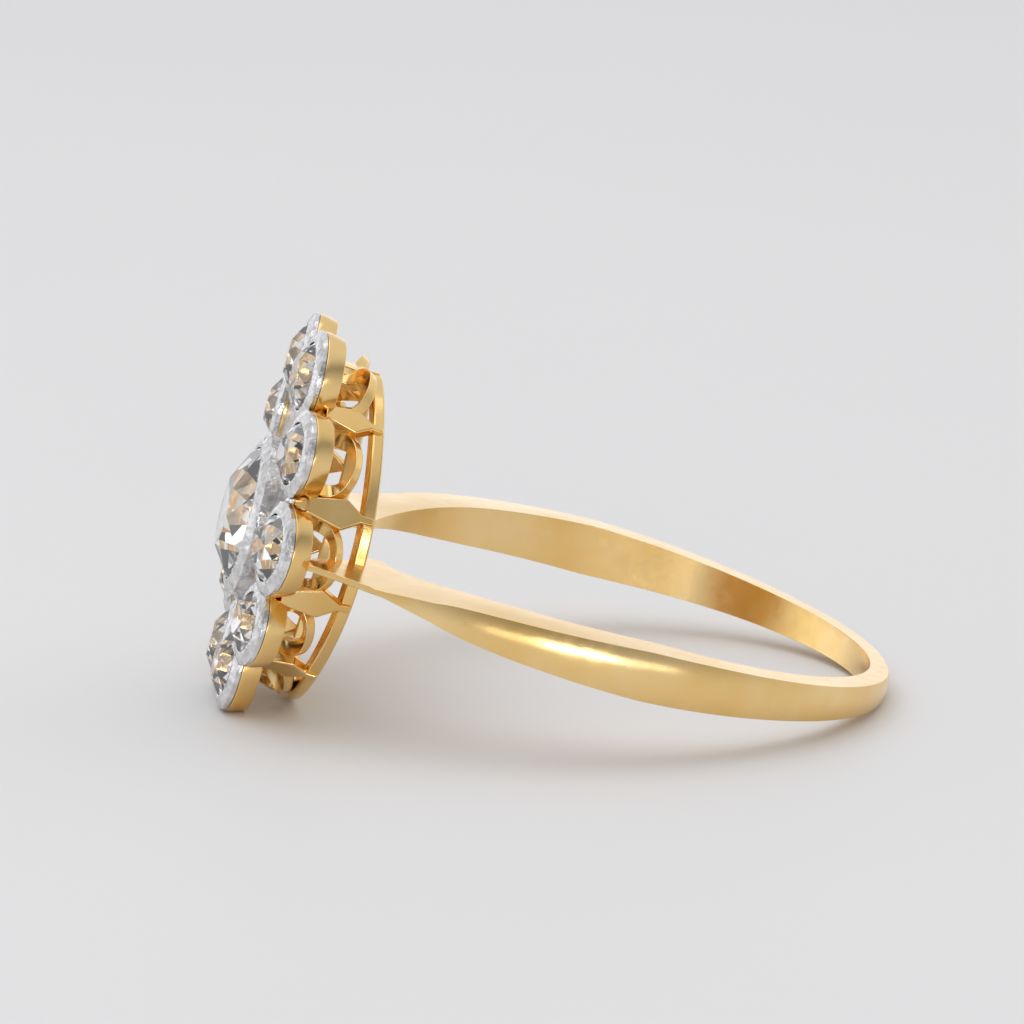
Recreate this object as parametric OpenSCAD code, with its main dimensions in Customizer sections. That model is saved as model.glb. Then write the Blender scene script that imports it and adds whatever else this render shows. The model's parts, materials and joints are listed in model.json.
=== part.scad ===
// Diamond cluster ring, lying on its side as it comes to rest.
//
// The finger hole's centre is the origin. The head faces -X: ten round stones stand like
// petals round a larger one, in white metal, on a pierced gallery of yellow gold. Two
// tapering shoulders join it to a plain, half round shank that is thinnest at the back.
// The ring is mirror symmetric across Y, and leans about Y until two petals and the
// back of the shank touch one level surface.

/* [Shank] */
// Inside diameter of the finger hole
finger_d = 17; // [16.6:0.1:17.2]
// Radius of the shank's outer curve, seen along the finger
shank_r = 10.1; // [10:0.02:10.3]
// How far that curve's centre lies from the finger hole's centre, towards the head
shank_shift = 0.85; // [0.75:0.01:0.95]
// Radius of the rounded outer face, across the shank
round_r = 2.1; // [1.8:0.1:2.6]
// Width of the shank where it meets the shoulders
side_w = 1.72; // [1.5:0.02:1.9]
// Width of the shank at its back
back_w = 0.9; // [0.8:0.02:1.2]
// Radius of the rounded outer face at the back, where the shank is thinnest
nose_r = 0.75; // [0.65:0.05:0.9]

/* [Shoulders] */
// Height of a shoulder at its tip
tip_h = 0.36; // [0.3:0.02:0.5]
// How far a shoulder's tip reaches towards the head, from the finger hole's centre
tip_forward = 10.58; // [10.5:0.02:10.7]
// How far to the side a shoulder's tip stands
tip_side = 6.14; // [6.08:0.02:6.2]
// Direction along which a shoulder keeps one height, as a turn from the head's axis
level_turn = 40; // [36:1:44]
// Distance from that direction's centre line to where a shoulder starts to thin
thin_from = 2.3; // [2:0.05:2.5]
// Distance from it to the thin end, on the other side
thin_to = 2.25; // [2.1:0.05:2.4]
// Radius of the hollow in a shoulder's thinning faces
scoop_r = 40; // [25:1:80]

/* [Head] */
// Radius of the bend that the petals' axes follow, round the finger
petal_bend_r = 22; // [18:1:40]
// How much narrower than its petal a gold collet is at its back edge
collet_taper = 0.13; // [0.1:0.01:0.16]
// Height of a petal's gold collet, back from the seam
collet_h = 0.5; // [0.45:0.01:0.55]
// Height of a petal's upright white wall, forward from the seam
petal_wall_h = 0.3; // [0.26:0.01:0.32]
// Height of the lip rubbed over a petal's stone, forward from the seam
petal_lip_h = 0.45; // [0.42:0.01:0.48]
// Width of a petal's lip
petal_lip_w = 0.36; // [0.32:0.01:0.4]
// Outer radius of the setting round the middle stone
bezel_r = 2.73; // [2.65:0.01:2.8]
// Width of the middle setting's lip
bezel_lip_w = 0.44; // [0.4:0.01:0.5]
// Outer radius of the middle collet at its back edge
core_r = 2; // [1.9:0.05:2.2]
// Wall of the middle collet
core_wall = 0.3; // [0.25:0.01:0.35]
// Radius of the plates that join the petals to the middle
plate_r = 4.4; // [4.36:0.01:4.44]
// How far those plates reach further at the top, where the head is longest
plate_lift = 0.35; // [0.3:0.01:0.4]

/* [Head heights, forward from the finger hole's centre] */
// Back edge of the middle collet
core_back = 10.45; // [10.3:0.05:10.6]
// Back face of the gold plate that carries the collets
plate_back = 11.1; // [11.05:0.01:11.15]
// Seam between the yellow and the white metal
seam = 11.32; // [11.28:0.01:11.36]
// Front face of the white metal between the petals
filler_front = 11.58; // [11.5:0.01:11.62]
// Front end of the middle setting's upright wall
bezel_front = 12.14; // [12.1:0.01:12.18]
// Front edge of the lip rubbed over the middle stone
bezel_lip = 12.36; // [12.3:0.01:12.38]
// Gap left open at the seam between the two metals
seam_gap = 0.02; // [0.01:0.01:0.04]

/* [Stones] */
// How much smaller than its petal a petal's stone is, in radius
stone_inset = 0.28; // [0.26:0.01:0.3]
// Height of a petal stone's girdle at its back edge, forward from the seam
petal_girdle = 0.2; // [0.18:0.01:0.22]
// Girdle radius of the middle stone
centre_stone_r = 2.45; // [2.4:0.01:2.48]
// Height of the middle stone's girdle at its back edge, from the finger hole's centre
centre_girdle = 12.02; // [12:0.01:12.04]
// Thickness of a girdle
girdle_t = 0.06; // [0.04:0.01:0.08]
// Clearance between a stone and its setting
stone_gap = 0.03; // [0.02:0.01:0.04]

/* [Gallery] */
// Half length of the oval base rim, across the finger hole's plane
rim_long = 5.45; // [5.4:0.01:5.5]
// Half width of the base rim, round the finger
rim_short = 4.5; // [4.45:0.01:4.6]
// Radius of the oval's tight ends
rim_end_r = 3.7; // [3.6:0.05:3.9]
// Thickness of the rim, in the plane of the oval
rim_wall = 0.5; // [0.4:0.01:0.6]
// Thickness of the rim along the head's axis
rim_t = 0.4; // [0.35:0.01:0.45]
// Height of the rim's back face at the oval's ends
rim_back = 9.2; // [9.15:0.01:9.25]
// Radius of the rim's saddle, which dips towards the finger at the sides
saddle_r = 18; // [16:1:24]
// How much smaller than its collet an arch is, in radius
arch_inset = 0.1; // [0.08:0.01:0.14]
// Width of an arch's strip
arch_w = 0.38; // [0.32:0.01:0.44]
// Height of an arch's centre, back from the seam
arch_centre = 0.57; // [0.54:0.01:0.6]
// Thickness of an arch's wall
arch_t = 0.5; // [0.4:0.01:0.6]
// Inward lean of the arches at the head's top and bottom
lean_end = 34; // [30:1:38]
// Inward lean of the arches beside the shoulders
lean_side = 27; // [24:1:32]
// Thickness of a leaf between two arches
leaf_t = 0.4; // [0.35:0.01:0.5]
// Half width of a leaf at its side points
leaf_w = 0.64; // [0.55:0.01:0.7]
// Where a leaf's side points stand, as a share of the way from the rim to the collets
leaf_widest = 0.45; // [0.35:0.05:0.6]
// How far the top of a leaf stands out from the line between two petals
leaf_out = 0.49; // [0.45:0.01:0.52]
// Half width of a leaf at the rim
leaf_tip_w = 0.14; // [0.1:0.01:0.2]

/* [Hidden] */
$fn = 64;

finger_r = finger_d / 2;
margin = 0.5;
// Step between parts of one metal that would otherwise end in the same plane
step = 0.02;
// How far two parts of the gold that are soldered together run into each other
weld = 0.04;

// Petals of the near side, from its middle upwards and then from the bottom: height above
// the finger hole's plane, distance to the side, outer radius; an old ring's stand unevenly
near_petals = [
    [0.03, 4.62, 1.52], [2.98, 3.85, 1.44], [5.08, 1.6, 1.54], [-4.55, 1.55, 1.49], [-2.62, 3.8, 1.4]
];
petals = 10;
low_petal = near_petals[3];

// Cut of a stone, as shares of its girdle radius: table, ridge, keel, culet, crown, pavilion
petal_cut = [0.48, 0.77, 0.58, 0.06, 0.45, 0.74];
centre_cut = [0.5, 0.8, 0.58, 0.06, 0.36, 0.77];
stone_sides = 8;
half_side = 180 / stone_sides;
// Hole behind a petal's stone, as a share of its radius, and the thin front edge of a lip
petal_hole = 0.8;
lip_edge = 0.04;

// The shank's outer curve ends where it runs straight on to the tip of a shoulder
shank_back = shank_r - shank_shift;
round_at = shank_r - round_r;
tip_dist = norm([tip_forward - shank_shift, tip_side]);
bar_len = sqrt(tip_dist * tip_dist - shank_r * shank_r);
bar_turn = atan2(-tip_side, shank_shift - tip_forward) + acos(shank_r / tip_dist);
bar_depth = 4.7;

// Plan of a shoulder's front face: from the tip's thickness, inside the gallery, to the hole
rim_side = rim_back - saddle_r + sqrt(saddle_r * saddle_r - rim_short * rim_short);
tip_t = 0.6;
front_plan = [
    [-tip_forward, tip_t - tip_side], [-rim_side - rim_t, rim_wall - rim_short],
    [-finger_r, -rim_short + 3 * rim_wall]
];

// An oval of four arcs: two tight ends and two flat sides that meet them without a corner
oval_end = rim_long - rim_end_r;
side_step = rim_short - rim_end_r;
oval_side = (oval_end * oval_end - side_step * side_step) / (2 * side_step);
side_r = rim_short + oval_side;
oval_meet = side_r * oval_end / (side_r - rim_end_r);

// The lean of the whole ring at rest, from the lowest points of the head and the shank
back_edge = shank_back - nose_r + sqrt(nose_r * nose_r - back_w * back_w / 4);
low_tilt = asin(low_petal[1] / petal_bend_r);
wall_slope = (low_petal[2] - low_petal[0] - back_w / 2) / (back_edge + seam);
collet_slope = (low_petal[2] - low_petal[0] - collet_taper - back_w / 2)
    / (back_edge + seam - collet_h * cos(low_tilt));
rest_lean = atan(max(wall_slope, collet_slope));

gold = [0.88, 0.64, 0.27];
white_metal = [0.76, 0.75, 0.72];
stone_white = [0.9, 0.92, 0.95];

function ring_points(count, r, z, turn = 0) =
    [for (i = [0 : count - 1]) [r * cos(360 * i / count + turn), r * sin(360 * i / count + turn), z]];

// Petals are numbered from the middle of the near side upwards and on round the far side
function is_far(i) = i > 2 && i < 8;
function near_row(i) = i > 2 ? i - 5 : i;
function petal_data(i) = near_petals[near_row(is_far(i) ? (15 - i) % petals : i)];
function petal_at(i) = [petal_data(i)[0], (is_far(i) ? 1 : -1) * petal_data(i)[1]];
function petal_r(i) = petal_data(i)[2];
function petal_stone_r(i) = petal_r(i) - stone_inset;
function collet_r(i) = petal_r(i) - collet_taper;
function turn_of(at) = atan2(at.y, at.x);

// Middle of the line from a petal to the next
function between(i) = (petal_at(i) + petal_at((i + 1) % petals)) / 2;

// Distance from the head's axis to the rim's outside, at a turn from the oval's long side
function rim_reach(turn) =
    rim_long * rim_short / norm([rim_short * cos(turn), rim_long * sin(turn)]);

// Height of the rim's back face at a distance to the side
function rim_height(side) = rim_back - saddle_r + sqrt(saddle_r * saddle_r - side * side);

// Depth of the ridge or keel where two neighbouring main facets cross
function cross_depth(depth, flat, cross) = depth * (1 - cross * cos(half_side)) / (1 - flat);

// Turns the head's own axis, upwards, to point forward along -X
module at_head() {
    rotate([0, -90, 0]) children();
}

// Places a piece on a petal's own axis at the seam, with its x pointing out of the head
module at_petal(i) {
    translate([petal_at(i).x, petal_at(i).y, seam]) rotate([asin(-petal_at(i).y / petal_bend_r), 0, 0])
        rotate([0, 0, turn_of(petal_at(i))]) children();
}

// Extrudes an outline drawn across and along the head's axis out along a spoke
module outward(length) {
    rotate([90, 0, 90]) linear_extrude(length) children();
}

// Half round section of the shank, from inside the finger hole to the outer face
module shank_section() {
    height = 2;
    intersection() {
        union() {
            translate([round_at, 0]) circle(round_r);
            translate([shank_r - bar_depth, -height / 2]) square([bar_depth - round_r, height]);
        }
        translate([shank_r - bar_depth, -height / 2]) square([bar_depth, height]);
    }
}

// Side outline of the shank, widest at the shoulders and rounded at the back
module shank_side() {
    intersection() {
        polygon([
            [-shank_r - margin, side_w / 2], [0, side_w / 2], [shank_back, back_w / 2],
            [shank_back, -back_w / 2], [0, -side_w / 2], [-shank_r - margin, -side_w / 2]
        ]);
        union() {
            translate([-2 * shank_r, -side_w]) square([2 * shank_r + shank_back - nose_r, 2 * side_w]);
            translate([shank_back - nose_r, 0]) circle(nose_r);
        }
    }
}

// Outline of a shoulder's height, from the full width of the shank down to its tip
module shoulder_height() {
    run = thin_from + thin_to;
    fall = (side_w - tip_h) / 2;
    chord = norm([run, fall]);
    lift = sqrt(scoop_r * scoop_r - chord * chord / 4);
    centre = [(thin_from - thin_to) / 2 - lift * fall / chord, (side_w + tip_h) / 4 + lift * run / chord];
    far = 2 * shank_r;
    difference() {
        polygon([
            [far, side_w / 2], [thin_from, side_w / 2], [-thin_to, tip_h / 2], [-far, tip_h / 2],
            [-far, -tip_h / 2], [-thin_to, -tip_h / 2], [thin_from, -side_w / 2], [far, -side_w / 2]
        ]);
        for (flip = [1, -1]) translate([centre.x, flip * centre.y]) circle(scoop_r);
    }
}

// Plan of a shoulder, from behind its joint with the shank to the gallery
module shoulder_plan() {
    polygon(concat(
        [[0, -shank_r - margin], [-tip_forward, -shank_r - margin]], front_plan, [[0, -finger_r / 3]]
    ));
}

module shoulder() {
    intersection() {
        translate([-shank_shift, 0, 0]) rotate([0, 0, bar_turn])
            rotate([90, 0, 0]) linear_extrude(bar_len) shank_section();
        linear_extrude(2 * side_w, center = true) shoulder_plan();
        rotate([0, 0, 180 + level_turn]) outward(2 * shank_r) shoulder_height();
    }
}

module shank() {
    difference() {
        union() {
            intersection() {
                translate([-shank_shift, 0, 0]) rotate([0, 0, bar_turn])
                    rotate_extrude(angle = -2 * bar_turn) shank_section();
                rotate([90, 0, 0]) linear_extrude(3 * shank_r, center = true) shank_side();
            }
            shoulder();
            mirror([0, 1, 0]) shoulder();
        }
        cylinder(r = finger_r, h = 4 * side_w, center = true);
    }
}

// The oval of the base rim, drawn in by an inset
module rim_oval(inset) {
    for (side = [-1, 1]) translate([side * oval_end, 0]) circle(rim_end_r - inset);
    intersection() {
        translate([0, -oval_side]) circle(side_r - inset);
        translate([0, oval_side]) circle(side_r - inset);
        square([2 * oval_meet * (side_r - inset) / side_r, 2 * rim_long], center = true);
    }
}

module base_rim() {
    intersection() {
        at_head() linear_extrude(seam) difference() {
            rim_oval(0);
            rim_oval(rim_wall);
        }
        translate([saddle_r - rim_back, 0, 0]) difference() {
            cylinder(r = saddle_r + rim_t, h = 4 * rim_long, center = true);
            cylinder(r = saddle_r, h = 5 * rim_long, center = true);
        }
    }
}

// Outline of an arch's opening or outer edge, with straight legs up to the collet
module arch_outline(r) {
    intersection() {
        union() {
            translate([0, -arch_centre]) circle(r);
            translate([-r, -arch_centre]) square([2 * r, arch_centre]);
        }
        translate([-r, -arch_centre - r]) square([2 * r, arch_centre + r - collet_h + weld]);
    }
}

// An arch behind a petal, sawn from a round wall that leans in towards the rim
module arch(i) {
    lean = lean_end + (lean_side - lean_end) * pow(sin(turn_of(petal_at(i))), 2);
    wall_r = collet_r(i) - step;
    outer = collet_r(i) - arch_inset;
    at_petal(i) intersection() {
        translate([wall_r, 0, -collet_h]) rotate([0, lean, 0]) difference() {
            translate([-wall_r, 0, -2 * wall_r]) cylinder(r = wall_r, h = 3 * wall_r);
            translate([-wall_r, 0, -3 * wall_r]) cylinder(r = wall_r - arch_t, h = 5 * wall_r);
            translate([-4 * wall_r, -2 * wall_r, -3 * wall_r]) cube([3 * wall_r, 4 * wall_r, 5 * wall_r]);
        }
        outward(2 * wall_r) difference() {
            arch_outline(outer);
            arch_outline(outer - arch_w);
        }
    }
}

// A leaf in the corner after a petal, with its tip on the rim
module leaf(i) {
    turn = turn_of(between(i));
    reach = rim_reach(turn) + weld;
    tip = rim_height(reach * sin(turn)) + leaf_tip_w / 2;
    top = seam - collet_h + leaf_tip_w;
    side = tip + (top - tip) * leaf_widest;
    root = norm(between(i)) + leaf_out;
    lean = atan((root - reach) / (top - tip));
    rotate([0, 0, turn]) intersection() {
        translate([root, 0, top]) rotate([0, lean, 0])
            translate([-leaf_t, -2 * leaf_w, -2 * top]) cube([leaf_t, 4 * leaf_w, 3 * top]);
        outward(2 * plate_r) polygon([
            [leaf_w / 2, top], [leaf_w, side], [leaf_tip_w, tip + rim_t], [leaf_tip_w, tip],
            [-leaf_tip_w, tip], [-leaf_tip_w, tip + rim_t], [-leaf_w, side], [-leaf_w / 2, top]
        ]);
    }
}

// A plate between the petals and the middle, reaching further at the top
module plate(bottom, top, grow = 0) {
    translate([0, 0, bottom]) linear_extrude(top - bottom) {
        circle(plate_r + grow);
        translate([plate_lift, 0]) circle(plate_r + grow);
    }
}

// Room for a stone: its outline turned round its axis, grown by the clearance, over a
// round hole that lets light in from behind
module seat(r, cut, girdle, hole_r, back) {
    ridge_z = cross_depth(cut[4] * r, cut[0], cut[1]);
    keel_z = cross_depth(cut[5] * r, cut[3] * cos(half_side), cut[2]);
    wide = r + stone_gap;
    slope = keel_z / (r - cut[2] * r);
    front = girdle + girdle_t + ridge_z;
    rotate_extrude() polygon([
        [0, back], [hole_r, back], [hole_r, girdle - (wide - hole_r) * slope], [wide, girdle],
        [wide, girdle + girdle_t], [cut[1] * r + stone_gap, front],
        [cut[1] * r + stone_gap, front + r], [0, front + r]
    ]);
}

module petal_seats(back) {
    for (i = [0 : petals - 1]) at_petal(i)
        seat(petal_stone_r(i), petal_cut, petal_girdle, petal_stone_r(i) * petal_hole, -back);
}

module centre_seat(back) {
    seat(centre_stone_r, centre_cut, centre_girdle, core_r - core_wall, back);
}

// A round block at every petal, from one height to another, forward from the seam
module petal_blocks(bottom, top, grow) {
    for (i = [0 : petals - 1]) at_petal(i) translate([0, 0, bottom])
        cylinder(r = petal_r(i) + grow, h = top - bottom);
}

// Gold behind the seam: a collet for each petal, and a plate that joins them to the middle
module collets() {
    flat_front = seam - seam_gap / 2;
    difference() {
        union() {
            for (i = [0 : petals - 1]) at_petal(i) translate([0, 0, -collet_h])
                cylinder(r1 = collet_r(i), r2 = petal_r(i), h = collet_h);
            plate(plate_back, flat_front - 2 * step);
            translate([0, 0, core_back])
                cylinder(r1 = core_r, r2 = bezel_r - core_wall, h = flat_front - 3 * step - core_back);
        }
        petal_blocks(-seam_gap / 2, 2 * collet_h, seam_gap);
        plate(flat_front, seam + 2 * collet_h, seam_gap);
        petal_seats(2 * collet_h);
        centre_seat(core_back - margin);
    }
}

module gold_mount() {
    color(gold) {
        shank();
        base_rim();
        at_head() {
            for (i = [0 : petals - 1]) {
                arch(i);
                leaf(i);
            }
            collets();
        }
    }
}

// White metal in front of the seam: ten petals and the middle setting on one plate
module white_setting() {
    flat_back = seam + seam_gap / 2;
    color(white_metal) at_head() difference() {
        union() {
            petal_blocks(seam_gap / 2, petal_wall_h, 0);
            for (i = [0 : petals - 1]) at_petal(i) translate([0, 0, petal_wall_h]) cylinder(
                r1 = petal_r(i), r2 = petal_r(i) - petal_lip_w + lip_edge, h = petal_lip_h - petal_wall_h
            );
            plate(flat_back, filler_front);
            translate([0, 0, flat_back + 2 * step])
                cylinder(r = bezel_r, h = bezel_front - flat_back - 2 * step);
            translate([0, 0, bezel_front])
                cylinder(r1 = bezel_r, r2 = bezel_r - bezel_lip_w + lip_edge, h = bezel_lip - bezel_front);
        }
        petal_seats(2 * collet_h);
        centre_seat(seam - margin);
    }
}

// An old cut stone: table, eight stars, eight kites, sixteen halves above the girdle and
// as many below, eight pavilion kites and a small flat culet
module old_cut(r, cut) {
    n = stone_sides;
    ridge_z = girdle_t + cross_depth(cut[4] * r, cut[0], cut[1]);
    keel_z = cross_depth(cut[5] * r, cut[3] * cos(half_side), cut[2]);
    table = 0;
    ridge = n;
    girdle = 2 * n;
    edge = 4 * n;
    keel = 6 * n;
    culet = 7 * n;
    polyhedron(
        points = concat(
            ring_points(n, cut[0] * r, girdle_t + cut[4] * r),
            ring_points(n, cut[1] * r, ridge_z, half_side),
            ring_points(2 * n, r, girdle_t),
            ring_points(2 * n, r, 0),
            ring_points(n, cut[2] * r, -keel_z, half_side),
            ring_points(n, cut[3] * r, -cut[5] * r, half_side)
        ),
        faces = concat(
            [[for (i = [n - 1 : -1 : 0]) table + i]],
            [for (i = [0 : n - 1]) [table + i, table + (i + 1) % n, ridge + i]],
            [for (i = [0 : n - 1]) [table + i, ridge + i, girdle + 2 * i, ridge + (i + n - 1) % n]],
            [for (i = [0 : n - 1]) [ridge + i, girdle + 2 * i + 1, girdle + 2 * i]],
            [for (i = [0 : n - 1]) [ridge + i, girdle + (2 * i + 2) % (2 * n), girdle + 2 * i + 1]],
            [for (i = [0 : 2 * n - 1]) [
                girdle + i, girdle + (i + 1) % (2 * n), edge + (i + 1) % (2 * n), edge + i
            ]],
            [for (i = [0 : n - 1]) [keel + i, edge + 2 * i, edge + 2 * i + 1]],
            [for (i = [0 : n - 1]) [keel + i, edge + 2 * i + 1, edge + (2 * i + 2) % (2 * n)]],
            [for (i = [0 : n - 1]) [
                culet + (i + n - 1) % n, keel + (i + n - 1) % n, edge + 2 * i, keel + i, culet + i
            ]],
            [[for (i = [0 : n - 1]) culet + i]]
        )
    );
}

module centre_stone() {
    color(stone_white) at_head() translate([0, 0, centre_girdle])
        old_cut(centre_stone_r, centre_cut);
}

module petal_stone(number) {
    color(stone_white) at_head() at_petal(number - 1) translate([0, 0, petal_girdle])
        rotate([0, 0, number * half_side / 2]) old_cut(petal_stone_r(number - 1), petal_cut);
}

// The ring is built upright round its finger hole and then laid at its resting lean
rotate([0, rest_lean, 0]) {
    gold_mount();
    white_setting();
    centre_stone();
    for (number = [1 : petals])
        petal_stone(number);
}
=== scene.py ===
import bpy
import bmesh
import json
import math
from mathutils import Matrix, Vector, noise
from mathutils.geometry import delaunay_2d_cdt


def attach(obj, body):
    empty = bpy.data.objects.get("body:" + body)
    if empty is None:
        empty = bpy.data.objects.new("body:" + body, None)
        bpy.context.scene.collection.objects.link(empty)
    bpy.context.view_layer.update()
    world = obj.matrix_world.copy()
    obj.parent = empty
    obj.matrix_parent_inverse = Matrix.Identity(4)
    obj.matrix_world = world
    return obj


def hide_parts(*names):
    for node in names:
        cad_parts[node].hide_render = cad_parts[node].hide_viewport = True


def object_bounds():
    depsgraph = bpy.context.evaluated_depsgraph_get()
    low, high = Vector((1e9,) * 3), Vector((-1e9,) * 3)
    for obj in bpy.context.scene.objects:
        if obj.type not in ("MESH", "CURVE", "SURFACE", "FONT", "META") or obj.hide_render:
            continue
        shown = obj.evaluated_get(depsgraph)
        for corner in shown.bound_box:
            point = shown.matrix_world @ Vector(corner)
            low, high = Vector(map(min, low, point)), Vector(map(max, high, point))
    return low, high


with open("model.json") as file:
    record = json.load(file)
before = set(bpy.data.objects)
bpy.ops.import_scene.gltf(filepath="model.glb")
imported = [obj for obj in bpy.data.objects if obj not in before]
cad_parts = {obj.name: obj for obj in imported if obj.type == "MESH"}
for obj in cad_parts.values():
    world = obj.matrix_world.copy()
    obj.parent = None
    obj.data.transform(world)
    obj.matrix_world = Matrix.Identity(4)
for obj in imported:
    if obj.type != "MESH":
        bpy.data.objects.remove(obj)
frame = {"nodes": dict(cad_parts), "record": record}
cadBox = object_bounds()

# The ring is made in millimetres round its finger hole and then laid at its resting lean
mm = 0.001
fingerHole = frame["record"]["mounts"][0]
lean = math.atan2(fingerHole["axis"][0], fingerHole["axis"][2])
fingerR = fingerHole["dims"]["r_mm"]
sideHalf = fingerHole["dims"]["length_mm"] / 2      # half the shank's width at its sides
ringFrame = Matrix.Rotation(lean, 4, "Y")
headFrame = ringFrame @ Matrix.Rotation(math.radians(-90), 4, "Y")   # x up the head, z to its front
floorLevel = cadBox[0][2]

goldNode = "gold_mount"
whiteNode = "white_setting"
petals = sum(name.startswith("petal_stone_") for name in frame["nodes"])
handSeed = 1                # any whole number but 0, which would take the clock's
noise.seed_set(handSeed)    # the handmade unevenness is the same each run
print("frame loaded, lean", round(math.degrees(lean), 2), "degrees,", petals, "petals")


# How the pieces' meshes are made

# Skins a row of rings that have as many points each, and caps the ends of an open row
def loft(rings, closed=False):
    count = len(rings[0])
    points = [point for ring in rings for point in ring]
    faces = []
    for i in range(len(rings) if closed else len(rings) - 1):
        a = i * count
        b = (i + 1) % len(rings) * count
        for j in range(count):
            k = (j + 1) % count
            faces.append((a + j, b + j, b + k, a + k))
    if not closed:
        faces.append(tuple(range(count)))
        faces.append(tuple(len(points) - count + j for j in range(count)))
    return points, faces


# Turns a profile of (radius, height) pairs once round, and lets shape move each point
def revolve(profile, steps, shape=None):
    rings = []
    for i in range(steps):
        turn = 2 * math.pi * i / steps
        ring = [Vector((r * math.cos(turn), r * math.sin(turn), z)) for r, z in profile]
        rings.append([shape(point) for point in ring] if shape else ring)
    return loft(rings, closed=True)


# A pierced plate: the loops divide the plane, and keep says which parts of it are metal
def plate(loops, keep, low, high):
    points = []
    edges = []
    for loop in loops:
        start = len(points)
        points += [Vector(point) for point in loop]
        edges += [(start + i, start + (i + 1) % len(loop)) for i in range(len(loop))]
    flat, _, triangles = delaunay_2d_cdt(points, edges, [], 0, 1e-5)[:3]
    kept = [t for t in triangles if keep(sum((flat[i] for i in t), Vector((0, 0))) / 3)]
    used = sorted({i for t in kept for i in t})
    up = len(used)
    sheet = [[used.index(i) for i in t] for t in kept]
    sides = [pair for t in sheet for pair in zip(t, t[1:] + t[:1])]
    shared = set(sides)
    faces = [t[::-1] for t in sheet] + [[i + up for i in t] for t in sheet]
    faces += [(a, b, b + up, a + up) for a, b in sides if (b, a) not in shared]
    return [Vector((flat[i].x, flat[i].y, z)) for z in (low, high) for i in used], faces


edgeSteps = 3               # facets across a softened edge
edgeTurn = 38               # an edge that turns more than this, in degrees, is softened
flatEdgeTurn = 30           # the same for the shank and the flat plates


# Puts a shape where it belongs, softens its edges, gives it its finish and hides the model part it stands in
# for
def makePiece(name, shape, place, finish, node, edge=0.0, edgeFrom=edgeTurn):
    points, faces = shape
    mesh = bpy.data.meshes.new(name)
    mesh.from_pydata([place @ Vector(point) * mm for point in points], [], faces)
    work = bmesh.new()
    work.from_mesh(mesh)
    bmesh.ops.recalc_face_normals(work, faces=work.faces)
    for face in work.faces:
        face.smooth = True
    work.to_mesh(mesh)
    work.free()
    mesh.materials.append(finish)
    piece = bpy.data.objects.new(name, mesh)
    bpy.context.scene.collection.objects.link(piece)
    if edge:
        soft = piece.modifiers.new("soft edges", "BEVEL")
        soft.width = edge * mm
        soft.segments = edgeSteps
        soft.limit_method = "ANGLE"
        soft.angle_limit = math.radians(edgeFrom)
        soft.harden_normals = True
    else:
        mesh.set_sharp_from_angle(angle=math.radians(edgeFrom))
    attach(piece, "root")
    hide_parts(node)


def goldPiece(name, shape, place, edge=0.0, edgeFrom=edgeTurn):
    makePiece(name, shape, place, gold, goldNode, edge, edgeFrom)


def whitePiece(name, shape, place, edgeFrom=edgeTurn):
    makePiece(name, shape, place, white, whiteNode, edgeFrom=edgeFrom)


# Finishes

def material(name):
    made = bpy.data.materials.new(name)
    made.use_nodes = True
    tree = made.node_tree
    return made, tree, tree.nodes["Principled BSDF"]


# A cloudy pattern with scale clouds to the millimetre
def texture(tree, scale, detail, stretch=(1, 1, 1), turn=(0, 0, 0)):
    place = tree.nodes.new("ShaderNodeTexCoord")
    mapping = tree.nodes.new("ShaderNodeMapping")
    mapping.inputs["Rotation"].default_value = [math.radians(a) for a in turn]
    mapping.inputs["Scale"].default_value = [s / mm for s in stretch]
    pattern = tree.nodes.new("ShaderNodeTexNoise")
    pattern.inputs["Scale"].default_value = scale
    pattern.inputs["Detail"].default_value = detail
    tree.links.new(place.outputs["Object"], mapping.inputs["Vector"])
    tree.links.new(mapping.outputs["Vector"], pattern.inputs["Vector"])
    return pattern.outputs["Fac"]


def ramp(tree, value, stops):
    band = tree.nodes.new("ShaderNodeValToRGB")
    for _ in range(len(stops) - 2):
        band.color_ramp.elements.new(0.5)
    for stop, (at, colour) in zip(band.color_ramp.elements, stops):
        stop.position = at
        stop.color = (*colour, 1)
    tree.links.new(value, band.inputs["Fac"])
    return band.outputs["Color"]


def blend(tree, kind, a, b):
    node = tree.nodes.new("ShaderNodeMath")
    node.operation = kind
    tree.links.new(a, node.inputs[0])
    if isinstance(b, float):
        node.inputs[1].default_value = b
    else:
        tree.links.new(b, node.inputs[1])
    return node.outputs[0]


def grey(level):
    return (level, level, level)


# Colour or roughness that drifts from one value to another: pattern holds its size and detail
def drift(tree, socket, pattern, share, first, last):
    low, high = share
    tree.links.new(ramp(tree, texture(tree, *pattern), [(low, first), (high, last)]), socket)


def wornPolish(tree, shader, look):
    best, worst = look["polish"]
    drift(tree, shader.inputs["Roughness"], look["wear"], look["wearShare"], grey(best), grey(worst))


def metal(name, look):
    made, tree, shader = material(name)
    shader.inputs["Metallic"].default_value = 1
    drift(tree, shader.inputs["Base Color"], look["tone"], look["toneShare"], look["deep"], look["light"])
    wornPolish(tree, shader, look)
    return made, tree, shader


def relief(tree, shader, height, look):
    bump = tree.nodes.new("ShaderNodeBump")
    bump.inputs["Strength"].default_value = look["relief"]
    bump.inputs["Distance"].default_value = look["reliefDeep"] * mm
    tree.links.new(height, bump.inputs["Height"])
    tree.links.new(bump.outputs["Normal"], shader.inputs["Normal"])


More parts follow.
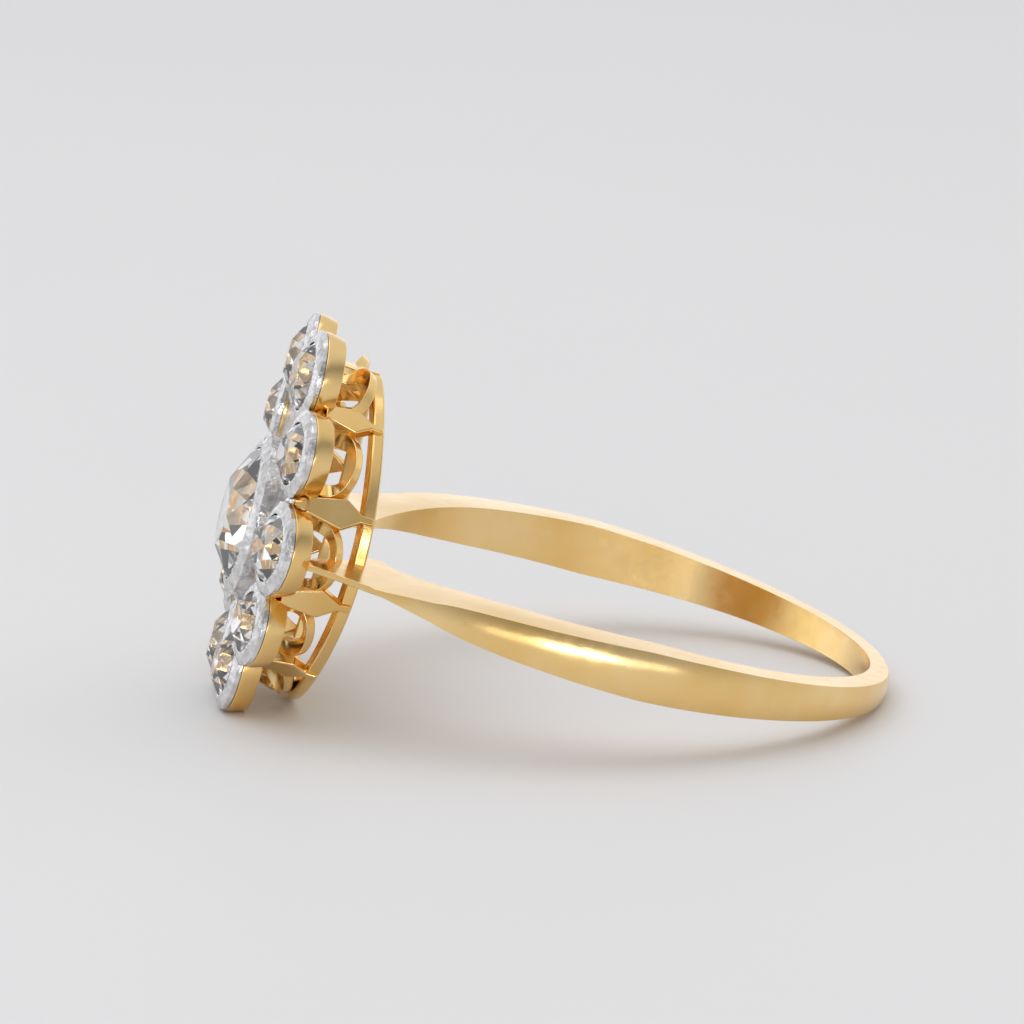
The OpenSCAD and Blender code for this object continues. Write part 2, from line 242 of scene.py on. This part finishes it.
goldLook = {
    "light": (0.94, 0.68, 0.32),
    "deep": (0.88, 0.58, 0.21),
    "tone": (0.35, 3),          # clouds of colour: how many to the mm, and their detail
    "toneShare": (0.35, 0.65),  # where in them the deep colour ends and the light one starts
    "polish": (0.11, 0.22),     # roughness where best polished and where most worn
    "wear": (2.2, 6),
    "wearShare": (0.35, 0.7),
    # fine scratches: how many to the mm along x, y and z, their turn in degrees and their width
    "scratches": [((18, 1.2, 14), (12, 25, 8), 0.03), ((1.5, 20, 12), (-20, 10, 35), 0.02)],
    "scratchDetail": 4,
    "dents": 0.4,               # how much soft unevenness goes with the scratches
    "dentSize": (1.6, 2),
    "relief": 0.045,            # strength of all that, and its depth in mm
    "reliefDeep": 0.02,
}


def scratches(tree, stretch, turn, width):
    lines = texture(tree, 1, goldLook["scratchDetail"], stretch, turn)
    return ramp(tree, lines, [(0.5 - width, grey(1)), (0.5, grey(0)), (0.5 + width, grey(1))])


def makeGold():
    made, tree, shader = metal("yellow gold", goldLook)
    fine, more = (scratches(tree, *way) for way in goldLook["scratches"])
    dents = blend(tree, "MULTIPLY", texture(tree, *goldLook["dentSize"]), goldLook["dents"])
    relief(tree, shader, blend(tree, "ADD", blend(tree, "ADD", fine, more), dents), goldLook)
    return made


whiteLook = {
    "light": (0.82, 0.81, 0.82),
    "deep": (0.6, 0.59, 0.58),
    "tone": (3.5, 5),
    "toneShare": (0.38, 0.62),
    "polish": (0.1, 0.26),
    "wear": (5, 6),
    "wearShare": (0.35, 0.7),
    "grain": (9, 6),            # marks of the tool that rubbed the lips over the stones
    "relief": 0.6,
    "reliefDeep": 0.03,
}


def makeWhite():
    made, tree, shader = metal("white metal", whiteLook)
    relief(tree, shader, texture(tree, *whiteLook["grain"]), whiteLook)
    return made


stoneLook = {
    "tint": (1.0, 0.995, 0.985),
    "bending": 2.42,            # how strongly a diamond bends light
    "polish": (0.004, 0.03),
    "wear": (4, 3),
    "wearShare": (0.5, 0.75),
}


def makeDiamond():
    made, tree, shader = material("diamond")
    shader.inputs["Base Color"].default_value = (*stoneLook["tint"], 1)
    shader.inputs["Transmission Weight"].default_value = 1
    shader.inputs["IOR"].default_value = stoneLook["bending"]
    wornPolish(tree, shader, stoneLook)
    return made


gold = makeGold()
white = makeWhite()
diamond = makeDiamond()
print("finishes made")


# Stones, which tell where the petals stand

# How finely facets and corners are told apart
reading = {"normalDigits": 2, "cornerDigits": 7, "girdleBand": 0.005}


def facing(face):
    return tuple(round(c, reading["normalDigits"]) for c in face.normal)


# The middle of a stone's girdle, the way that its table faces and its radius, seen from the head
def stoneFacts(name):
    mesh = frame["nodes"][name].data
    facets = {}
    for face in mesh.polygons:
        facets[facing(face)] = facets.get(facing(face), 0) + face.area
    largest = max(facets, key=facets.get)
    axis = sum((face.normal for face in mesh.polygons if facing(face) == largest), Vector()).normalized()
    corners = {tuple(round(c, reading["cornerDigits"]) for c in vertex.co) for vertex in mesh.vertices}
    corners = [Vector(c) / mm for c in corners]
    middle = sum(corners, Vector()) / len(corners)
    away = [(c - middle - axis * (c - middle).dot(axis)).length for c in corners]
    radius = max(away)
    atGirdle = [c for c, far in zip(corners, away) if far > radius - reading["girdleBand"]]
    girdle = min((c - middle).dot(axis) for c in atGirdle)
    back = headFrame.inverted()
    return back @ (middle + axis * girdle), (back @ axis).normalized(), radius


stones = [stoneFacts("petal_stone_%d" % (i + 1)) for i in range(petals)]
middleGirdle, _, middleStoneR = stoneFacts("centre_stone")
for name, node in frame["nodes"].items():
    if name not in (goldNode, whiteNode):
        for place in node.material_slots:
            place.material = diamond

# What the gold and the white half of a setting share, in mm
setting = {
    "girdleFromSeam": 0.2,      # from the seam between the metals to a petal stone's girdle
    "rimRoundStone": 0.28,      # a petal's radius beyond its stone
    "seamGap": 0.02,            # stands in for the solder
    "skirt": 0.15,              # the gold collet's thin edge, up round the foot of its white petal
    "skirtWide": 0.1,
    "clearance": 0.03,          # round a stone
    "girdle": 0.06,             # height of a stone's girdle
    "hole": 0.8,                # hole behind a petal stone, as a share of its radius
    "bezelR": 2.73,             # outside of the middle setting
}


def petalSeat(i):
    return stones[i][0] - stones[i][1] * setting["girdleFromSeam"]


def petalFrame(i):
    seat = petalSeat(i)
    tilt = Matrix.Rotation(-math.asin(stones[i][1].y), 4, "X")
    return headFrame @ Matrix.Translation(seat) @ tilt @ Matrix.Rotation(math.atan2(seat.y, seat.x), 4, "Z")


def petalR(i):
    return stones[i][2] + setting["rimRoundStone"]


seam = petalSeat(0).z
print("stones read, seam at", round(seam, 3), "mm")


# Shank and shoulders, in mm and degrees; a turn counts from the shank's back

shank = {
    "outerR": 10.1,
    "shift": 0.85,              # the outer curve's centre stands off the hole's, towards the head
    "backHalf": 0.45,           # half the width at the back
    "roundR": 2.1,              # rounding of the outer face, and at the back
    "noseR": 0.75,
    "roundFull": 50,            # turn where the rounding is full
    "tip": (-10.58, -6.14),     # a shoulder's point, on its outer and inner side
    "tipIn": (-10.58, -5.54),
    "front": [(-7.95, -3.0), (-8.5, -3.0), (-9.03, -4.0)],     # its inner side, before the point
    "tipHalf": 0.18,
    "levelTurn": 40,            # the way along which a shoulder thins, from and to where
    "thinFrom": 2.3,
    "thinTo": -2.25,
    "hollowR": 40,              # radius of the hollow that thins it, in the plane of its width
    "blur": 0.2,                # how softly that starts
    "innerDrop": 0.13,          # how far the finger's edge of a side face sinks near the shoulders
    "dropFrom": 75,
    "dropFull": 112,
    "sideSlope": 0.165,         # side faces fall away outwards, most at the shoulders
    "slopeFrom": 65,
    "slopeFull": 130,
    "slopeDeep": 2.5,           # depth of a side face beyond which it falls no further
    "thinnest": 0.1,            # least half width
    "bulge": 0.03,              # how full a sloping side face is
    "edge": 0.1,
    "arcSteps": 150,
    "shoulderSteps": 30,
    "pathSteps": 12,
    "acrossSteps": 14,
    "sideSteps": 6,
    "fingerSteps": 4,
}
backX = shank["outerR"] - shank["shift"]


# Half the shank's width there: the plain band's, cut softly by the hollow that thins a shoulder
def halfAt(x, y):
    band = sideHalf if x <= 0 else sideHalf + (shank["backHalf"] - sideHalf) * x / backX
    turn = math.radians(shank["levelTurn"])
    along = max(x * math.sin(turn) + abs(y) * math.cos(turn), shank["thinTo"])
    wide = shank["thinFrom"] - shank["thinTo"]
    fall = sideHalf - shank["tipHalf"]
    chord = math.hypot(wide, fall)
    lift = math.sqrt(shank["hollowR"] ** 2 - chord ** 2 / 4)
    middle = (shank["thinFrom"] + shank["thinTo"]) / 2 - lift * fall / chord
    height = (sideHalf + shank["tipHalf"]) / 2 + lift * wide / chord
    hollow = height - math.sqrt(shank["hollowR"] ** 2 - (along - middle) ** 2)
    return band - shank["blur"] * math.log(1 + math.exp((band - hollow) / shank["blur"]))


def smooth(x, low, high):
    x = min(max((x - low) / (high - low), 0), 1)
    return x * x * (3 - 2 * x)


# One closed section: domed outer face, sloping side face, face to the finger, other side face
def sectionRing(outer, inner, outHalf, inHalf, turn):
    inward = (inner - outer).normalized()
    turn = abs(math.degrees(turn))
    slope = shank["sideSlope"] * smooth(turn, shank["slopeFrom"], shank["slopeFull"])
    half = max(outHalf - slope * min((inner - outer).length, shank["slopeDeep"]), shank["thinnest"])
    roundR = shank["noseR"] + (shank["roundR"] - shank["noseR"]) * smooth(turn, 0, shank["roundFull"])
    bulge = shank["bulge"] * slope / shank["sideSlope"]
    ring = []
    for i in range(shank["acrossSteps"] + 1):
        v = half * (2 * i / shank["acrossSteps"] - 1)
        at = outer + inward * (roundR - math.sqrt(roundR ** 2 - v ** 2))
        ring.append(Vector((at.x, at.y, v)))
    edge = ring[-1].copy()
    sideFace = []
    for i in range(1, shank["sideSteps"] + 1):
        k = i / shank["sideSteps"]
        at = Vector((edge.x, edge.y)).lerp(inner, k)
        sideFace.append(Vector((at.x, at.y, half + (inHalf - half) * k + bulge * math.sin(math.pi * k))))
    ring += sideFace
    for i in range(1, shank["fingerSteps"]):
        ring.append(Vector((inner.x, inner.y, inHalf * (1 - 2 * i / shank["fingerSteps"]))))
    ring += [Vector((p.x, p.y, -p.z)) for p in sideFace[::-1]]
    return ring


def alongLine(points, share):
    lengths = [(b - a).length for a, b in zip(points, points[1:])]
    left = share * sum(lengths)
    for a, b, length in zip(points, points[1:], lengths):
        if left <= length:
            return a.lerp(b, left / length)
        left -= length
    return points[-1].copy()


def shankShape():
    middle = Vector((-shank["shift"], 0))
    tip = Vector(shank["tip"])
    reach = (tip - middle).length
    turnEnd = math.pi - math.atan2(-tip.y, -(tip.x - middle.x)) - math.acos(shank["outerR"] / reach)
    rings = []
    for i in range(shank["arcSteps"] + 1):
        turn = turnEnd * (2 * i / shank["arcSteps"] - 1)
        out = Vector((math.cos(turn), math.sin(turn)))
        outer = middle + out * shank["outerR"]
        b = outer.dot(out)
        inner = outer - out * (b - math.sqrt(b * b - outer.length_squared + fingerR ** 2))
        drop = shank["innerDrop"] * smooth(abs(math.degrees(turn)), shank["dropFrom"], shank["dropFull"])
        rings.append(sectionRing(outer, inner, halfAt(*outer), halfAt(*inner) - drop, turn))
        if i == 0:
            barStart, innerStart = outer.copy(), inner.copy()
    # a shoulder's straight outer side, and its inner side round the hole and on to the point
    start = math.atan2(innerStart.y, innerStart.x)
    end = math.atan2(shank["front"][0][1], shank["front"][0][0])
    path = []
    for i in range(shank["pathSteps"] + 1):
        turn = start + (end - start) * i / shank["pathSteps"]
        path.append(Vector((math.cos(turn), math.sin(turn))) * fingerR)
    path += [Vector(p) for p in shank["front"][1:]] + [Vector(shank["tipIn"])]
    near = []
    for i in range(1, shank["shoulderSteps"] + 1):
        share = i / shank["shoulderSteps"]
        outer = barStart.lerp(tip, share)
        inner = alongLine(path, share)
        drop = shank["innerDrop"] * (1 - share) ** 2
        near.append(sectionRing(outer, inner, halfAt(*outer), halfAt(*inner) - drop, turnEnd))
    far = [[Vector((p.x, -p.y, p.z)) for p in ring] for ring in near]
    return loft(near[::-1] + rings + far)


goldPiece("shank", shankShape(), ringFrame, shank["edge"], flatEdgeTurn)
print("shank made")


# Gallery: the base rim, the arches and the leaves, in mm and degrees

rim = {
    "long": 5.45,               # half its length and half its width outside
    "short": 4.5,
    "endR": 3.7,                # rounding of its two ends
    "wall": 0.5,
    "thick": 0.4,
    "back": 9.2,                # its back, from the hole's axis
    "saddleR": 18,              # it bends round the finger
    "edge": 0.09,
    "steps": 180,
}
rimEnd = rim["long"] - rim["endR"]
rimStep = rim["short"] - rim["endR"]
rimSide = (rimEnd ** 2 - rimStep ** 2) / (2 * rimStep)


def rimPoint(turn, inset):
    out = Vector((math.cos(turn), math.sin(turn)))
    if abs(out.y) * rimEnd < abs(out.x) * rimSide:
        return Vector((math.copysign(rimEnd, out.x), 0)) + out * (rim["endR"] - inset)
    return Vector((0, -math.copysign(rimSide, out.y))) + out * (rim["short"] + rimSide - inset)


def saddle(y, up=0.0):
    return rim["back"] - rim["saddleR"] + math.sqrt((rim["saddleR"] + up) ** 2 - y ** 2)


def rimShape():
    rings = []
    for i in range(rim["steps"]):
        turn = 2 * math.pi * i / rim["steps"]
        ring = []
        for inset, up in ((0, 0), (0, rim["thick"]), (rim["wall"], rim["thick"]), (rim["wall"], 0)):
            at = rimPoint(turn, inset)
            ring.append(Vector((at.x, at.y, saddle(at.y, up))))
        rings.append(ring)
    return loft(rings, closed=True)


goldPiece("base_rim", rimShape(), headFrame, rim["edge"])

arch = {
    "colletTaper": 0.13,        # a collet narrows by this towards its back
    "colletHigh": 0.5,          # how far a collet reaches behind the seam
    "into": 0.04,               # how far a leg runs into its collet
    "shy": 0.1,                 # how far the arch stands in from the collet's back edge
    "reach": 96,                # round the petal, from its middle to the foot of a leg
    "legWide": 0.3,
    "wide": 0.3,                # width at its back
    "deep": 1.27,               # from its centre to its back, on a side petal
    "centre": 0.55,             # its centre, behind the seam
    "thick": 0.5,
    "leanEnd": 34,              # leans in towards the rim, at the ends and at the sides
    "leanSide": 27,
    "edge": 0.06,
    "steps": 36,
    "acrossSteps": 4,
}
sidePetal = petals // 4


# A U of sheet metal on a curved, leaning wall behind its petal
def archShape(i):
    wallR = petalR(i) - arch["colletTaper"] - arch["shy"]
    innerWall = wallR - arch["thick"]
    outer = wallR * math.radians(arch["reach"])
    deep = arch["deep"] * petalR(i) / petalR(sidePetal)
    seat = petalSeat(i)
    side = math.sin(math.atan2(seat.y, seat.x)) ** 2
    tilt = math.radians(arch["leanEnd"] + (arch["leanSide"] - arch["leanEnd"]) * side)

    def onWall(along, z, wall):
        x = wall * math.cos(along / wallR) - wallR
        back = (z + arch["colletHigh"] + x * math.sin(tilt)) / math.cos(tilt)
        return Vector((wallR + x * math.cos(tilt) + back * math.sin(tilt), wall * math.sin(along / wallR), z))

    foot = arch["centre"] - arch["colletHigh"] + arch["into"]
    turns = [math.pi * k / arch["steps"] for k in range(arch["steps"] + 1)]
    path = [(1, foot)] + [(math.cos(turn), -math.sin(turn)) for turn in turns] + [(-1, foot)]
    rings = []
    for n, (c, s) in enumerate(path):
        leg = n in (0, len(path) - 1)
        strip = []
        for k in range(arch["acrossSteps"] + 1):
            share = k / arch["acrossSteps"]
            across = outer - arch["legWide"] * share
            back = deep - arch["wide"] * share
            strip.append((across * c, -arch["centre"] + (s if leg else back * s)))
        front = [onWall(along, z, wallR) for along, z in strip]
        rear = [onWall(along, z, innerWall) for along, z in strip[::-1]]
        rings.append(front + rear)
    return loft(rings)


leaf = {
    "topOut": 0.49,             # from the line between two petals out to a leaf's top
    "thick": 0.36,
    "half": 0.52,               # half its greatest width, and where along it that is
    "widest": 0.45,
    "tipHalf": 0.14,
    "tipIn": 0.04,              # how far its tip runs past the rim's outside
    "edge": 0.07,
}


# The way out to a leaf, between two petals, and how far it is to the line between them
def leafPlace(i):
    middle = (petalSeat(i) + petalSeat((i + 1) % petals)) / 2
    return math.atan2(middle.y, middle.x), math.hypot(middle.x, middle.y)


def leafShape(i):
    turn, away = leafPlace(i)
    reach = rim["long"] * rim["short"] / math.hypot(
        rim["short"] * math.cos(turn), rim["long"] * math.sin(turn)) + leaf["tipIn"]
    tipHalf = leaf["tipHalf"]
    tip = saddle(reach * math.sin(turn)) + tipHalf / 2
    top = seam - arch["colletHigh"] + tipHalf
    side = tip + (top - tip) * leaf["widest"]
    root = away + leaf["topOut"]
    slope = (root - reach) / (top - tip)
    half = [(leaf["half"] / 2, top), (leaf["half"], side), (tipHalf, tip + rim["thick"]), (tipHalf, tip)]
    outline = half + [(-y, z) for y, z in half[::-1]]
    rings = []
    for depth in (0, leaf["thick"] * math.hypot(1, slope)):
        rings.append([Vector((root + (z - top) * slope - depth, y, z)) for y, z in outline])
    return loft(rings)


for i in range(petals):
    goldPiece("arch_%d" % (i + 1), archShape(i), petalFrame(i), arch["edge"])
    place = headFrame @ Matrix.Rotation(leafPlace(i)[0], 4, "Z")
    goldPiece("leaf_%d" % (i + 1), leafShape(i), place, leaf["edge"])
print("gallery made")


# Gold collets, the plate that joins them and the middle collet, in mm

collet = {
    "plateR": 4.4,              # the plate is two circles, one a little higher than the other
    "plateLift": 0.35,
    "plateBack": 11.1,          # from the hole's axis, as the middle collet's back
    "plateSteps": 120,
    "holeSteps": 48,
    "flare": 0.04,              # a petal's hole widens by this towards the front
    "middleR": 2.0,
    "middleBack": 10.45,
    "middleWall": 0.3,
    "edge": 0.035,
    "steps": 96,
    "uneven": 0.012,            # made by hand: how much, and how many waves to the mm
    "unevenSize": 1.3,
}
circleSteps = 72


def handMade(point):
    return point + noise.noise_vector(point * collet["unevenSize"]) * collet["uneven"]


def colletShape(i):
    r = petalR(i)
    hole = stones[i][2] * setting["hole"]
    low, high = -arch["colletHigh"], -setting["seamGap"] / 2
    inside = r - setting["skirtWide"]
    profile = [(hole, low), (r - arch["colletTaper"], low), (r, high), (r, high + setting["skirt"]),
               (inside, high + setting["skirt"]), (inside, high), (hole + collet["flare"], high)]
    return revolve(profile, collet["steps"], lambda p: handMade(p + petalSeat(i)) - petalSeat(i))


def circle(x, y, r, steps=circleSteps):
    turns = [2 * math.pi * k / steps for k in range(steps)]
    return [(x + r * math.cos(turn), y + r * math.sin(turn)) for turn in turns]


# A petal's circle, slid along the petal's own axis to one height of the head
def petalCircle(i, r, height):
    turned = headFrame.inverted() @ petalFrame(i)
    axis = stones[i][1]
    loop = []
    for x, y in circle(0, 0, r, collet["holeSteps"]):
        at = turned @ Vector((x, y, 0))
        at += axis * ((height - at.z) / axis.z)
        loop.append((at.x, at.y))
    return loop


def insideLoop(point, loop):
    inside = False
    for (ax, ay), (bx, by) in zip(loop, loop[1:] + loop[:1]):
        if (ay > point.y) != (by > point.y) and point.x < (bx - ax) * (point.y - ay) / (by - ay) + ax:
            inside = not inside
    return inside


def plateShape(low, high, holeOf, middleHole):
    outlines = [circle(x, 0, collet["plateR"], collet["plateSteps"]) for x in (0, collet["plateLift"])]
    holes = [petalCircle(i, holeOf(i), low) for i in range(petals)] + [circle(0, 0, middleHole)]

    def keep(point):
        return any(insideLoop(point, o) for o in outlines) and not any(insideLoop(point, h) for h in holes)

    return plate(outlines + holes, keep, low, high)


for i in range(petals):
    goldPiece("gold_collet_%d" % (i + 1), colletShape(i), petalFrame(i), collet["edge"])
plateFront = seam - setting["seamGap"]
middleHole = collet["middleR"] - collet["middleWall"]
goldPlate = plateShape(collet["plateBack"], plateFront, lambda i: stones[i][2] * setting["hole"], middleHole)
goldPiece("gold_plate", goldPlate, headFrame, edgeFrom=flatEdgeTurn)
middleFront = plateFront - setting["seamGap"] / 2
middleProfile = [
    (middleHole, collet["middleBack"]), (collet["middleR"], collet["middleBack"]),
    (setting["bezelR"] - collet["middleWall"], middleFront), (middleHole, middleFront)
]
goldPiece("middle_collet", revolve(middleProfile, collet["steps"]), headFrame, collet["edge"])
print("gold collets made")


# White petals and the middle setting, in mm; heights are from the seam, and in the middle one
# from the hole's axis

petal = {
    "wallHigh": 0.3,            # where the wall ends and the lip bends over
    "lipHigh": 0.45,
    "lipWide": 0.36,
    "ridge": 0.77,              # the crown's ridge, as a share of the stone's radius
    "ridgeHigh": 0.25,          # its height over the girdle, as a share of the radius
    "seatSlope": 0.866,         # how steeply the seat behind the stone falls
    "grain": 0.022,             # how uneven the lip is
    "steps": 150,
}
bezel = {
    "wallHigh": 12.14,
    "lipHigh": 12.36,
    "lipWide": 0.44,
    "ridge": 0.8,
    "ridgeHigh": 0.188,
    "seatSlope": 0.9,
    "grain": 0.03,
    "steps": 240,
}
lip = {
    "edge": 0.04,               # how far its top runs out, and how much that is raised
    "crown": 0.004,
    "curve": 1.4,               # how it bends over into the wall
    "curveSteps": 7,
    "wallSteps": 6,
    "grainSize": 9.0,           # marks to the mm, and the finer ones' size and share
    "fineSize": 2.3,
    "fineShare": 0.5,
    "wallShare": 0.25,          # of the grain, on the wall below the lip
    "grainDown": 0.02,          # how far the full grain runs down the wall
}
web = {"high": 0.3, "clearance": 0.05, "into": 0.3}     # the white metal between the petals


def settingProfile(r, stoneR, back, girdleAt, look, foot=0.0):
    gap = setting["clearance"]
    wall, top = look["wallHigh"], look["lipHigh"]
    girdleTop = girdleAt + setting["girdle"]
    seatR = stoneR + gap
    slope = (seatR - look["ridge"] * stoneR - gap) / (look["ridgeHigh"] * stoneR)
    lipIn = seatR - (top - girdleTop) * slope
    lipOut = r - look["lipWide"] + lip["edge"]
    profile = [(seatR - (girdleAt - back) / look["seatSlope"], back), (seatR, girdleAt), (seatR, girdleTop)]
    profile += [(lipIn, top), ((lipIn + lipOut) / 2, top + lip["crown"]), (lipOut, top)]
    for k in range(1, lip["curveSteps"]):
        share = k / lip["curveSteps"]
        profile.append((lipOut + (r - lipOut) * share, top + (wall - top) * share ** lip["curve"]))
    for k in range(lip["wallSteps"] + 1):
        profile.append((r, wall + (back + foot - wall) * k / lip["wallSteps"]))
    if foot:
        inside = r - setting["skirtWide"] - setting["seamGap"]
        profile += [(inside, back + foot), (inside, back)]
    return profile


def grained(start, look):
    def shape(point):
        at = (point + start) * lip["grainSize"]
        rough = noise.noise_vector(at) + noise.noise_vector(at * lip["fineSize"]) * lip["fineShare"]
        share = 1 if point.z > look["wallHigh"] - lip["grainDown"] else lip["wallShare"]
        return point + rough * look["grain"] * share
    return shape


for i in range(petals):
    profile = settingProfile(petalR(i), stones[i][2], setting["seamGap"] / 2, setting["girdleFromSeam"],
                             petal, setting["skirt"])
    shape = revolve(profile, petal["steps"], grained(petalSeat(i), petal))
    whitePiece("white_petal_%d" % (i + 1), shape, petalFrame(i))
whiteBack = seam + setting["seamGap"] / 2
webShape = plateShape(whiteBack, seam + web["high"], lambda i: stones[i][2] + web["clearance"],
                      setting["bezelR"] - web["into"])
whitePiece("white_plate", webShape, headFrame, flatEdgeTurn)
profile = settingProfile(setting["bezelR"], middleStoneR, whiteBack + setting["seamGap"], middleGirdle.z,
                         bezel)
whitePiece("middle_setting", revolve(profile, bezel["steps"], grained(Vector(), bezel)), headFrame)
print("white settings made")


# Camera, floor and light

view = {
    "distance": 240.356,        # mm from the target
    "azimuth": -5.128365,       # degrees
    "elevation": 12.053855,
    "roll": 0.204167,
    "target": (-3.261757, 0, 3.154946),
    "lens": 263.03849,          # mm, as the sensor and the nearest distance seen
    "sensor": 36,
    "near": 10,
}


def placeCamera():
    az, el, roll = (math.radians(view[k]) for k in ("azimuth", "elevation", "roll"))
    back = Vector((math.sin(az) * math.cos(el), -math.cos(az) * math.cos(el), math.sin(el)))
    right = (-back).cross(Vector((0, 0, 1))).normalized()
    up = right.cross(-back)
    side = right * math.cos(roll) + up * math.sin(roll)
    top = up * math.cos(roll) - right * math.sin(roll)
    pose = Matrix((side, top, back)).transposed().to_4x4()
    pose.translation = (Vector(view["target"]) + back * view["distance"]) * mm
    lens = bpy.data.cameras.new("camera")
    lens.lens = view["lens"]
    lens.sensor_width = view["sensor"]
    lens.clip_start = view["near"] * mm
    camera = bpy.data.objects.new("camera", lens)
    bpy.context.scene.collection.objects.link(camera)
    camera.matrix_world = pose
    bpy.context.scene.camera = camera


floorLook = {
    "colour": (0.828, 0.822, 0.818),
    "darker": 0.985,            # its darker clouds, as a share of the colour
    "tone": (0.02, 3),
    "toneShare": (0.3, 0.7),
    "roughness": 0.6,
    "shine": 0.2,
    "half": 600,                # half its side, in mm
}


def layFloor():
    made, tree, shader = material("pale floor")
    darker = tuple(c * floorLook["darker"] for c in floorLook["colour"])
    drift(tree, shader.inputs["Base Color"], floorLook["tone"], floorLook["toneShare"], darker,
          floorLook["colour"])
    shader.inputs["Roughness"].default_value = floorLook["roughness"]
    shader.inputs["Specular IOR Level"].default_value = floorLook["shine"]
    half = floorLook["half"] * mm
    corners = [(x * half, y * half, floorLevel) for x, y in ((-1, -1), (1, -1), (1, 1), (-1, 1))]
    mesh = bpy.data.meshes.new("floor")
    mesh.from_pydata(corners, [], [(0, 1, 2, 3)])
    mesh.materials.append(made)
    floor = bpy.data.objects.new("floor", mesh)
    bpy.context.scene.collection.objects.link(floor)


light = {
    "room": (0.97, 0.975, 1.0),
    # height over the floor from 0 to 1 and brightness there, behind the ring and in front of it
    "behind": [(0.0, 1.3), (0.25, 0.95), (0.45, 0.8), (1.0, 0.82)],
    "front": [(0.0, 0.7), (0.2, 0.55), (0.5, 0.32), (0.75, 0.75), (1.0, 0.85)],
    "turnOver": 0.35,           # how wide the change from front to behind is
    # name, place in mm, width and height in mm, watts
    "lamps": [
        ("window", (-32, -320, 29), (150, 46), 0.12),
        ("wall", (-30, -330, 28), (480, 50), 0.085),
        ("upper", (-60, 20, 240), (300, 300), 0.17),
    ],
}


def lightRoom():
    world = bpy.data.worlds.new("studio")
    world.use_nodes = True
    bpy.context.scene.world = world
    tree = world.node_tree
    place = tree.nodes.new("ShaderNodeTexCoord")
    split = tree.nodes.new("ShaderNodeSeparateXYZ")
    tree.links.new(place.outputs["Generated"], split.inputs[0])
    sides = [ramp(tree, split.outputs["Z"], [(at, grey(level)) for at, level in light[side]])
             for side in ("front", "behind")]
    towards = tree.nodes.new("ShaderNodeMapRange")
    towards.inputs["From Min"].default_value = -light["turnOver"]
    towards.inputs["From Max"].default_value = light["turnOver"]
    towards.interpolation_type = "SMOOTHSTEP"
    tree.links.new(split.outputs["Y"], towards.inputs["Value"])
    mix = tree.nodes.new("ShaderNodeMix")
    tree.links.new(towards.outputs["Result"], mix.inputs["Factor"])
    tree.links.new(sides[0], mix.inputs["A"])
    tree.links.new(sides[1], mix.inputs["B"])
    shader = tree.nodes["Background"]
    shader.inputs["Color"].default_value = (*light["room"], 1)
    tree.links.new(mix.outputs["Result"], shader.inputs["Strength"])
    for name, at, (wide, high), watts in light["lamps"]:
        lamp = bpy.data.lights.new(name, "AREA")
        lamp.shape = "RECTANGLE"
        lamp.size = wide * mm
        lamp.size_y = high * mm
        lamp.energy = watts
        source = bpy.data.objects.new(name, lamp)
        bpy.context.scene.collection.objects.link(source)
        source.location = Vector(at) * mm
        source.rotation_euler = (-Vector(at)).to_track_quat("-Z", "Y").to_euler()
    bpy.context.scene.view_settings.view_transform = "Standard"


placeCamera()
layFloor()
lightRoom()
print("camera, floor and light placed")
